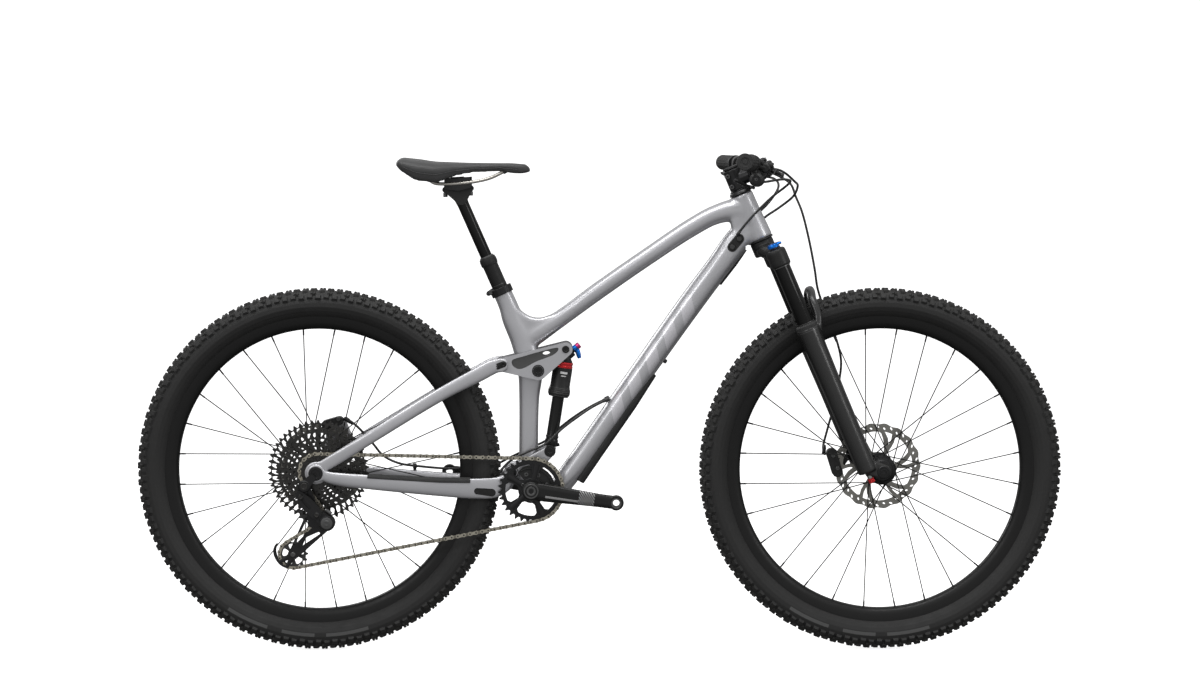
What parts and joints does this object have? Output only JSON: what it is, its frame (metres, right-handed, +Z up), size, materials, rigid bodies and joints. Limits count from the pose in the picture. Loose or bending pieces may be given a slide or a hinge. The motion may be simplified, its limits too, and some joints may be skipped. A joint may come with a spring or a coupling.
{
  "type": "mountain bike",
  "caption": "Full-suspension mountain bike with a telescopic fork, linkage rear suspension, dropper seat post, disc brakes and a single-chainring drivetrain, without pedals.",
  "frame": {"origin": "on the ground, midway between the two wheel axles, in the bike's centre plane", "axes": "+X the riding direction, +Y the rider's left, +Z up; the chain is on the -Y side"},
  "size_m": [1.907, 0.7648, 1.0225],
  "materials": {
    "silver_paint": "metallic silver lacquer, smooth gloss",
    "black_paint": "satin black paint",
    "black_alloy": "black anodised, satin",
    "grey_alloy": "grey anodised, satin",
    "steel": "brushed",
    "chain_steel": "plated steel with a warm tint",
    "black_plastic": "matte black moulding",
    "rubber": "matte, fine moulded texture",
    "tyre": "matte moulded tread and side wall",
    "saddle_cover": "synthetic leather, fine grain, satin",
    "blue_anodised": "blue anodised"
  },
  "bodies": {
    "frame": {"front_triangle": "silver_paint", "down_tube_guard": "rubber", "fork_bumper": "rubber", "seat_collar": "black_alloy", "dropper_outer_tube": "black_alloy", "rocker_pivot_axle": "black_alloy", "main_pivot_axle": "black_alloy"},
    "saddle_and_post": {"dropper_post": "black_alloy", "saddle_clamp": "black_alloy", "saddle_rails": "steel", "saddle": "saddle_cover"},
    "chainstay_assembly": {"chainstay": "silver_paint", "rear_axle": "black_alloy", "derailleur_body": "black_alloy", "chain": "chain_steel", "rear_brake_hose_lower": "black_plastic", "shift_housing_lower": "black_plastic"},
    "seatstay_assembly": {"seatstay": "silver_paint", "rear_calliper": "black_alloy"},
    "rocker": {"rocker_link": "silver_paint"},
    "shock_upper": {"shock_can": "black_paint"},
    "shock_lower": {"shock_shaft": "black_alloy"},
    "shock_switch": {"shock_lever": "blue_anodised"},
    "rear_wheel": {"rear_tyre": "tyre", "rear_rim": "black_paint", "rear_spokes": "steel", "rear_hub": "black_alloy", "rear_rotor": "steel"},
    "cassette_body": {"cassette": "grey_alloy"},
    "crankset": {"crank_right": "black_alloy", "crank_left": "black_alloy", "chainring": "black_alloy"},
    "cage": {"derailleur_cage": "black_alloy"},
    "guide_wheel": {"guide_pulley": "black_plastic"},
    "tension_wheel": {"tension_pulley": "black_plastic"},
    "steering_assembly": {"crown_steerer": "black_paint", "headset_spacers": "black_alloy", "stem": "black_alloy", "handlebar": "black_alloy", "grip_right": "rubber", "grip_left": "rubber", "brake_body_right": "black_alloy", "brake_body_left": "black_alloy", "front_brake_hose": "black_plastic", "rear_brake_hose": "black_plastic", "shift_housing": "black_plastic", "dropper_housing": "black_plastic"},
    "fork_lower_assembly": {"fork_lowers": "black_paint", "front_axle": "black_alloy", "front_calliper": "black_alloy"},
    "front_wheel": {"front_tyre": "tyre", "front_rim": "black_paint", "front_spokes": "steel", "front_hub": "black_alloy", "front_rotor": "steel"},
    "compression_dial": {"fork_dial": "blue_anodised"},
    "right_brake_lever": {"brake_blade_right": "black_alloy"},
    "left_brake_lever": {"brake_blade_left": "black_alloy"},
    "shift_lever": {"shift_paddle": "grey_alloy"},
    "dropper_lever": {"dropper_remote": "grey_alloy"}
  },
  "joints": [
    {"name": "steering", "type": "hinge", "parent": "frame", "child": "steering_assembly", "pos_m": [0.538, 0, 0.35781], "axis": [-0.3907, 0, 0.9205], "range_deg": [-60, 60], "deforming": ["rear_brake_hose", "shift_housing", "dropper_housing"]},
    {"name": "fork_travel", "type": "slide", "parent": "steering_assembly", "child": "fork_lower_assembly", "axis": [-0.3907, 0, 0.9205], "range_m": [0, 0.12], "stiffness_N_per_m": 5000, "springref_m": -0.02, "deforming": ["front_brake_hose"]},
    {"name": "front_wheel_spin", "type": "hinge", "parent": "fork_lower_assembly", "child": "front_wheel", "pos_m": [0.5785, 0, 0.375], "axis": [0, 1, 0], "continuous": true},
    {"name": "rear_suspension", "type": "hinge", "parent": "frame", "child": "chainstay_assembly", "pos_m": [-0.181, 0, 0.371], "axis": [0, 1, 0], "range_deg": [0, 17], "stiffness_Nm_per_rad": 1200, "springref_deg": -1.72, "deforming": ["chain", "rear_brake_hose_lower", "shift_housing_lower"]},
    {"name": "seatstay_pivot", "type": "hinge", "parent": "chainstay_assembly", "child": "seatstay_assembly", "pos_m": [-0.5785, 0, 0.375], "axis": [0, 1, 0], "range_deg": [-9.6, 0]},
    {"name": "rocker_pivot", "type": "hinge", "parent": "frame", "child": "rocker", "pos_m": [-0.127, 0, 0.58], "axis": [0, 1, 0], "range_deg": [0, 58]},
    {"name": "shock_upper_pivot", "type": "hinge", "parent": "rocker", "child": "shock_upper", "pos_m": [-0.0705, 0, 0.624], "axis": [0, 1, 0], "range_deg": [-53.5, 0]},
    {"name": "shock_stroke", "type": "slide", "parent": "shock_upper", "child": "shock_lower", "axis": [0.1529, 0, 0.9882], "range_m": [0, 0.041]},
    {"name": "shock_lockout", "type": "hinge", "parent": "shock_upper", "child": "shock_switch", "pos_m": [-0.0497, 0, 0.6254], "axis": [0.7572, 0, 0.6532], "range_deg": [0, 45]},
    {"name": "rear_wheel_spin", "type": "hinge", "parent": "chainstay_assembly", "child": "rear_wheel", "pos_m": [-0.5785, 0, 0.375], "axis": [0, 1, 0], "continuous": true},
    {"name": "crank_spin", "type": "hinge", "parent": "frame", "child": "crankset", "pos_m": [-0.141, 0, 0.337], "axis": [0, 1, 0], "continuous": true},
    {"name": "cassette_spin", "type": "hinge", "parent": "chainstay_assembly", "child": "cassette_body", "pos_m": [-0.5785, 0, 0.375], "axis": [0, 1, 0], "continuous": true},
    {"name": "cage_pivot", "type": "hinge", "parent": "chainstay_assembly", "child": "cage", "pos_m": [-0.557, 0, 0.273], "axis": [0, 1, 0], "range_deg": [-35, 20]},
    {"name": "guide_pulley_spin", "type": "hinge", "parent": "cage", "child": "guide_wheel", "pos_m": [-0.591, 0, 0.289], "axis": [0, 1, 0], "continuous": true},
    {"name": "tension_pulley_spin", "type": "hinge", "parent": "cage", "child": "tension_wheel", "pos_m": [-0.629, 0, 0.205], "axis": [0, 1, 0], "continuous": true},
    {"name": "dropper_post", "type": "slide", "parent": "frame", "child": "saddle_and_post", "axis": [-0.4035, 0, 0.915], "range_m": [-0.11, 0], "stiffness_N_per_m": 600, "springref_m": 0.08},
    {"name": "right_brake", "type": "hinge", "parent": "steering_assembly", "child": "right_brake_lever", "pos_m": [0.33511, -0.196, 0.99079], "axis": [-0.3746, 0, -0.9272], "range_deg": [0, 14], "stiffness_Nm_per_rad": 1, "springref_deg": -2.86},
    {"name": "left_brake", "type": "hinge", "parent": "steering_assembly", "child": "left_brake_lever", "pos_m": [0.33511, 0.196, 0.99079], "axis": [0.3746, 0, 0.9272], "range_deg": [0, 14], "stiffness_Nm_per_rad": 1, "springref_deg": -2.86},
    {"name": "shift_push", "type": "hinge", "parent": "steering_assembly", "child": "shift_lever", "pos_m": [0.29743, -0.212, 0.95722], "axis": [-0.3746, 0, -0.9272], "range_deg": [0, 22], "stiffness_Nm_per_rad": 0.3, "springref_deg": -5.73},
    {"name": "dropper_push", "type": "hinge", "parent": "steering_assembly", "child": "dropper_lever", "pos_m": [0.29702, 0.207, 0.97025], "axis": [0.3746, 0, 0.9272], "range_deg": [0, 22], "stiffness_Nm_per_rad": 0.3, "springref_deg": -5.73},
    {"name": "fork_damper_dial", "type": "hinge", "parent": "steering_assembly", "child": "compression_dial", "pos_m": [0.35253, -0.065, 0.83313], "axis": [-0.3907, 0, 0.9205], "range_deg": [0, 90]}
  ],
  "couplings": [
    {"joint": "seatstay_pivot", "follows": "rear_suspension", "ratio": -0.5507},
    {"joint": "rocker_pivot", "follows": "rear_suspension", "ratio": 3.3711},
    {"joint": "shock_upper_pivot", "follows": "rear_suspension", "ratio": -3.0917},
    {"joint": "shock_stroke", "follows": "rear_suspension", "m_per_rad": 0.13554},
    {"joint": "cassette_spin", "follows": "crank_spin", "ratio": 1.7778},
    {"joint": "guide_pulley_spin", "follows": "crank_spin", "ratio": -2.6667},
    {"joint": "tension_pulley_spin", "follows": "crank_spin", "ratio": 2.2857}
  ]
}
